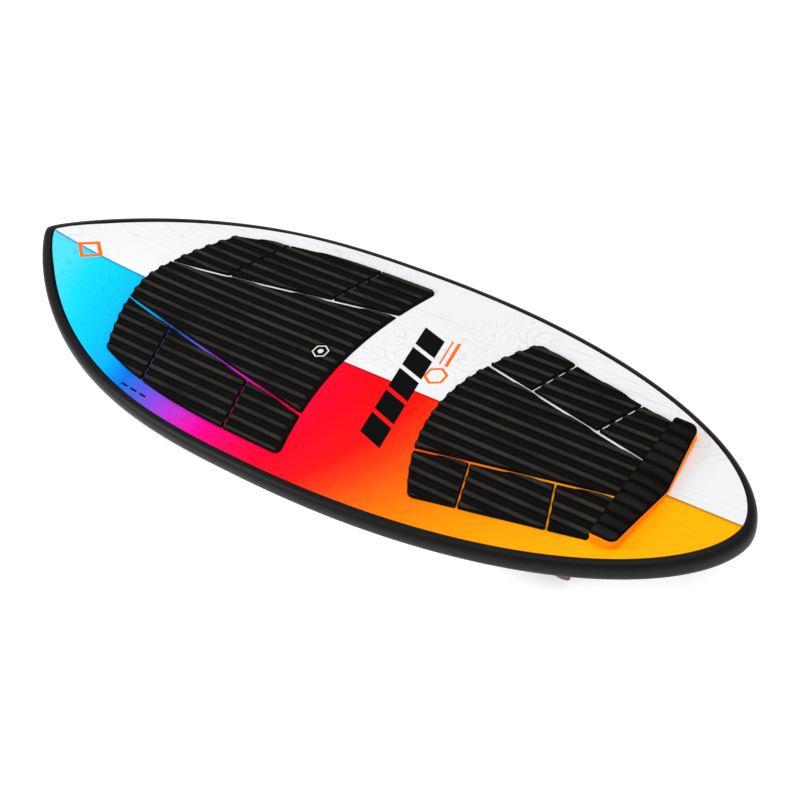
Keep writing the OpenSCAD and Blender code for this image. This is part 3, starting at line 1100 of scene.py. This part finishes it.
def make_deck_print():
    """Glossy print: a colour fade on the left half and white on the right one, with painted shade along
    the seam between them.
    """
    p = Paint("deck_print", Specular_IOR_Level=0.05)
    stops = [((x - FADE_START) / (FADE_END - FADE_START), srgb(*colour)) for x, colour in FADE]
    colours = p.ramp(p.attribute("fade"), stops)
    colours = p.mix(p.attribute("warm"), colours, WARM_TINT, "MULTIPLY")
    shade = p.noise(size=260, stretch=(1.5, 1, 1), shift=5)
    white = p.mix(shade, srgb(238, 239, 241), srgb(233, 234, 235))
    left = p.y.above(0, soft=0.6)
    base = p.mix(left, white, colours)
    lines = contour_lines(p)
    base = p.mix(lines * LINE_SHADE, base, srgb(120, 120, 128), "MULTIPLY")
    # Painted shade: a darker band on the coloured side of the seam between the two halves
    seam = left * p.y.below(PAINTED_SEAM_SHADE_WIDTH, soft=5)
    base = p.mix(seam * PAINTED_SEAM_SHADE, base, srgb(165, 150, 155), "MULTIPLY")
    dark, orange = marks(p)
    lap = p.attribute("inside").below(0)
    base = p.mix(orange, base, srgb(255, 112, 18))
    base = p.mix((dark + lap).apply("MINIMUM", 1), base, srgb(6, 6, 7))
    hairlines = p.noise(size=0.9, stretch=(40, 1, 1), detail=1, shift=9).above(0.66, soft=0.1)
    roughness = p.noise(size=40, detail=3) * 0.1 + hairlines * 0.06 + 0.3
    return p.finish(base, roughness, p.noise(size=5) + lines * 0.15, depth=0.012)


def make_rail_black():
    """Satin black, with a fine mould texture and light scuffs."""
    p = Paint("rail_black", Specular_IOR_Level=0.15)
    tone = p.noise(size=60, detail=4, roughness=0.6)
    patches = p.noise(size=70, shift=2).above(0.52, soft=0.1)
    scuffs = p.noise(size=3, stretch=(14, 3, 1), shift=4).above(0.7, soft=0.08) * patches
    base = p.mix(tone, srgb(6, 6, 7), srgb(13, 13, 14))
    base = p.mix(scuffs * 0.4, base, srgb(60, 60, 61))
    roughness = tone * 0.16 + scuffs * 0.12 + 0.34
    return p.finish(base, roughness, p.noise(size=0.8) + p.noise(size=9) * 0.6, depth=0.02)


def foam_relief(p):
    """Open pores and the slight unevenness of cut foam."""
    pores = p.beads(size=0.9).apply("POWER", 2) * 0.5 + p.noise(size=0.5) * 0.6
    return pores + p.noise(size=14) * 0.8


def make_eva_black():
    """Black foam whose ridges are greyer than its valleys, with painted shade along every edge and in the
    grooves of the kick's cover.
    """
    p = Paint("eva_black", Specular_IOR_Level=0.045)
    wear = p.noise(size=30, stretch=(4, 1, 1), detail=4, roughness=0.6) - 0.5
    speckle = p.noise(size=1.3, shift=6) - 0.5
    # The attribute also carries painted shade: it falls to 0 at every edge and in the cover's grooves
    tone = p.attribute("ridge") * (wear * 1.3 + 0.9) + speckle * 0.12
    stops = [(0, srgb(15, 14, 13)), (0.08, srgb(6, 6, 5)), (0.4, srgb(10, 9, 8)), (0.7, srgb(31, 30, 28))]
    base = p.ramp(tone.apply("MULTIPLY", 1, clamp=True), [*stops, (1, srgb(51, 49, 46))])
    badge = hexagon(p.x - BADGE[0], p.y - BADGE[1])
    badge = badge.near(*BADGE_RING) + badge.below(BADGE_MIDDLE)
    base = p.mix(badge, base, srgb(226, 226, 222))
    return p.finish(base, p.noise(size=6, detail=3) * 0.14 + 0.78, foam_relief(p), depth=0.06)


def make_eva_orange():
    """Orange foam. It glows a little, because the studio's light alone leaves its side too dark."""
    glow = {"Emission_Color": (1, 0.16, 0, 1), "Emission_Strength": 0.18}
    p = Paint("eva_orange", Specular_IOR_Level=0.1, **glow)
    tone = p.noise(size=12, detail=4) * 0.7 + p.noise(size=1.2) * 0.3
    base = p.ramp(tone, [(0.25, srgb(255, 134, 0)), (0.75, srgb(255, 146, 2))])
    return p.finish(base, p.noise(size=5, detail=3) * 0.12 + 0.72, foam_relief(p), depth=0.05)


def make_bottom_laminate():
    """White glass laminate under gloss resin: a faint weave and the same fine lines as the deck."""
    p = Paint("bottom_laminate", Specular_IOR_Level=0.5, Coat_Weight=0.3, Coat_Roughness=0.12)
    weave = (p.x % WEAVE).near(WEAVE / 2, WEAVE / 4) + (p.y % WEAVE).near(WEAVE / 2, WEAVE / 4)
    lines = contour_lines(p)
    tone = p.noise(size=220, detail=3, shift=8)
    base = p.mix(tone, srgb(238, 239, 240), srgb(229, 231, 233))
    base = p.mix(lines * 0.25, base, srgb(130, 132, 138), "MULTIPLY")
    base = p.mix(weave * 0.03, base, srgb(150, 155, 160))
    roughness = tone * 0.12 + p.noise(size=7, detail=3) * 0.06 + 0.16
    return p.finish(base, roughness, weave * 0.3 + p.noise(size=6), depth=0.01)


def make_foam_core():
    """Off-white foam of fused beads."""
    p = Paint("foam_core", Specular_IOR_Level=0.2)
    bead = p.beads(size=4.5)
    base = p.ramp(bead, [(0.2, srgb(246, 245, 240)), (0.8, srgb(216, 213, 204))])
    return p.finish(base, bead * 0.15 + 0.75, (bead * -1) + p.noise(size=2) * 0.2, depth=0.4)


def make_stringer_wood():
    """Light wood with its grain along the board."""
    p = Paint("stringer_wood", Specular_IOR_Level=0.3)
    grain = p.noise(size=3, stretch=(60, 1, 1), detail=5, roughness=0.6, distortion=0.5)
    base = p.ramp(grain, [(0.3, srgb(205, 170, 122)), (0.7, srgb(160, 120, 76))])
    return p.finish(base, grain * 0.2 + 0.5, grain, depth=0.08)


def make_fin_composite():
    """Tinted glass composite with fibres under a polished resin, darker along the trailing edge."""
    p = Paint("fin_composite", Specular_IOR_Level=0.5, Coat_Weight=0.6, Coat_Roughness=0.06)
    along = p.noise(size=1.4, stretch=(26, 1, 8), detail=3)
    fibre = along * 0.6 + p.noise(size=1.4, stretch=(3, 1, 20), detail=3, shift=5) * 0.4
    base = p.ramp(fibre, [(0.3, srgb(96, 50, 38)), (0.7, srgb(142, 84, 66))])
    base = p.mix(p.attribute("chord").above(0.72, soft=0.5) * 0.7, base, srgb(42, 24, 22))
    roughness = fibre * 0.15 + p.noise(size=8, detail=3) * 0.08 + 0.16
    return p.finish(base, roughness, fibre, depth=0.02)


def make_fin_box_plastic():
    """Moulded black plastic."""
    p = Paint("fin_box_plastic", Specular_IOR_Level=0.5)
    base = p.mix(p.noise(size=9, detail=4), srgb(30, 30, 32), srgb(44, 44, 46))
    return p.finish(base, p.noise(size=1.5, detail=3) * 0.2 + 0.45, p.noise(size=0.6), depth=0.03)


def make_screw_steel():
    """Stainless steel with turning marks."""
    p = Paint("screw_steel", Metallic=1.0)
    turned = p.noise(size=0.5, stretch=(1, 1, 8), detail=3)
    base = p.mix(turned, srgb(188, 189, 192), srgb(150, 151, 155))
    return p.finish(base, turned * 0.25 + 0.22, turned, depth=0.01)


deck_print = make_deck_print()
rail_black = make_rail_black()
eva_black = make_eva_black()
eva_orange = make_eva_orange()
bottom_laminate = make_bottom_laminate()
foam_core = make_foam_core()
stringer_wood = make_stringer_wood()
fin_composite = make_fin_composite()
fin_box_plastic = make_fin_box_plastic()
screw_steel = make_screw_steel()


# ---------------- the board

place("deck_shell", make_deck(), deck_print, "board", ["deck_skin"])
place("bottom_shell", make_bottom(), bottom_laminate, "board", ["bottom_skin"])
place("rail_shell", make_rail(), rail_black, "board", ["rail_band"])

front_pads = PadGroup(
    "front_pad",
    rear=edge_across(*FRONT_REAR_EDGE),
    nose=edge_across(*FRONT_NOSE_EDGE),
    gap=edge_along(*FRONT_GAP_LINE),
    side=lambda x: width_in(x) - PAD_MARGIN,
    cross=FRONT_CROSS,
    cut=FRONT_CUT,
    phase=FRONT_PHASE,
    radii=FRONT_RADII,
    bevel=REAR_BEVEL,
    badge=BADGE,
)
rear_pads = PadGroup(
    "rear_pad",
    rear=edge_across(KICK_FRONT + PAD_GAP / 2),
    nose=edge_across(*REAR_NOSE_EDGE),
    gap=edge_along(*REAR_GAP_LINE),
    side=edge_along(*REAR_SIDE_LINE),
    cross=REAR_CROSS,
    cut=REAR_CUT,
    phase=REAR_PHASE,
    radii=REAR_RADII,
    bevel=0,
    badge=None,
)
front_pads.build()
rear_pads.build()
make_kick()

for which in FIN_DEPTH:
    body = "fin_" + which
    place(body + "_foil", make_fin(which), fin_composite, body, [body])

# Materials of the CAD's own meshes that are kept, by how the nodes' names start
KEPT = {
    "core_": foam_core,
    "stringer": stringer_wood,
    "fin_box_": fin_box_plastic,
    "screw_": screw_steel,
}
for name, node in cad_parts.items():
    for start, material in KEPT.items():
        if name.startswith(start):
            set_material(node.data, material)


# ---------------- studio

# Sizes and places in metres: floor and its glow, light of the surroundings, and the soft lights' places,
# targets, sizes and powers in watts
FLOOR_SIZE = 40
FLOOR_GLOW = 0.36
WORLD_LIGHT = 0.6
LIGHTS = {
    "overhead": ((-0.55, 0.2, 2.4), (-0.3, 0.1, 0), 2.8, 29),
    "side": ((1.5, 1.4, 1.0), (0.1, 0.1, 0), 1.1, 23),
}


def make_floor_paint():
    """White paint that glows, so that the floor is as bright as a lit table."""
    glow = {"Emission_Color": (1, 1, 1, 1), "Emission_Strength": FLOOR_GLOW}
    p = Paint("floor_paint", Specular_IOR_Level=0.1, **glow)
    tone = p.noise(size=400, detail=3)
    return p.finish(p.mix(tone, srgb(250, 250, 250), srgb(252, 252, 252)), tone * 0.1 + 0.8)


def make_floor():
    bpy.ops.mesh.primitive_plane_add(size=FLOOR_SIZE)
    floor = bpy.context.object
    floor.name = "floor"
    floor.data.materials.append(make_floor_paint())


def soft_light(name, place_at, target, size, power):
    """Square area light that faces a point."""
    data = bpy.data.lights.new(name, "AREA")
    data.size = size
    data.energy = power
    light = add_object(name, data)
    light.location = place_at
    light.rotation_euler = (Vector(target) - Vector(place_at)).to_track_quat("-Z", "Y").to_euler()


def make_world(strength):
    world = bpy.data.worlds.new("studio")
    world.use_nodes = True
    background = world.node_tree.nodes["Background"]
    background.inputs["Color"].default_value = (1, 1, 1, 1)
    background.inputs["Strength"].default_value = strength
    bpy.context.scene.world = world


# The camera in board axes: its place in millimetres, and its azimuth, elevation and roll
CAMERA_PLACE = (-1112.007, 1072.903, 1390.691)
AZIMUTH = math.radians(-136.577)
ELEVATION = math.radians(44.0075)
ROLL = math.radians(-10.4597)
LENS = 59.815
SENSOR = 36


def make_camera():
    data = bpy.data.cameras.new("camera")
    data.lens = LENS
    data.sensor_width = SENSOR
    camera = add_object("camera", data)
    level = math.cos(ELEVATION)
    back = Vector((math.sin(AZIMUTH) * level, -math.cos(AZIMUTH) * level, math.sin(ELEVATION)))
    right = (-back).cross(Vector((0, 0, 1))).normalized()
    up = right.cross(-back)
    across = math.cos(ROLL) * right + math.sin(ROLL) * up
    upward = math.cos(ROLL) * up - math.sin(ROLL) * right
    turn = Matrix((across, upward, back)).transposed().to_4x4()
    camera.matrix_world = STAND @ Matrix.Translation(Vector(CAMERA_PLACE) * MM) @ turn
    bpy.context.scene.camera = camera


make_floor()
make_world(WORLD_LIGHT)
for name, light in LIGHTS.items():
    soft_light(name, *light)
make_camera()
bpy.context.scene.view_settings.view_transform = "Standard"
